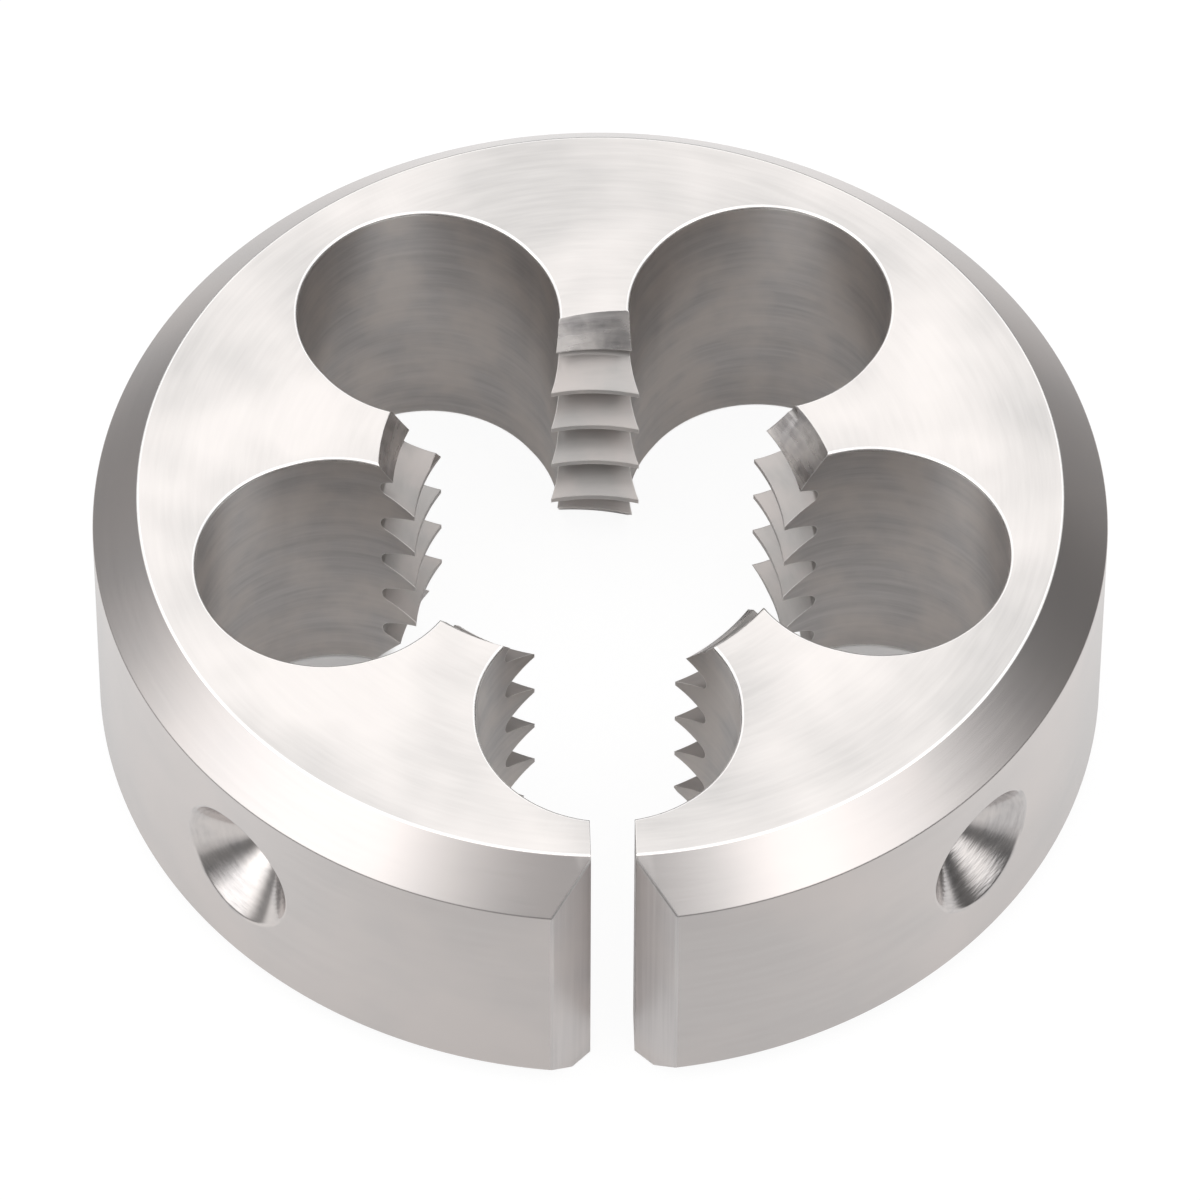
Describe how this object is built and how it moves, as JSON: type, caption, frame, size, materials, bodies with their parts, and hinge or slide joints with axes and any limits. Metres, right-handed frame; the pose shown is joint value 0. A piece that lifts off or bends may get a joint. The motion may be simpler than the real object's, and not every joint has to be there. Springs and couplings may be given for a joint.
{
  "type": "round split threading die",
  "caption": "Thick round split die with a coarse right-hand internal thread, chip holes round the bore, a V-grooved slit and cone dimples in the rim for screws.",
  "frame": {"origin": "on the thread's axis, at the level of the lower face, the one with the narrower rim bevel", "axes": "+Z along the thread's axis towards the face with the wider rim bevel, -Y out through the slit, +X to the right with the slit in front"},
  "size_m": [0.0508, 0.0506, 0.0159],
  "materials": {
    "tool_steel": "bright ground tool steel, surface-ground on the faces and turned and ground round the rim"
  },
  "bodies": {
    "root": {"threading_die": "tool_steel"}
  },
  "joints": []
}
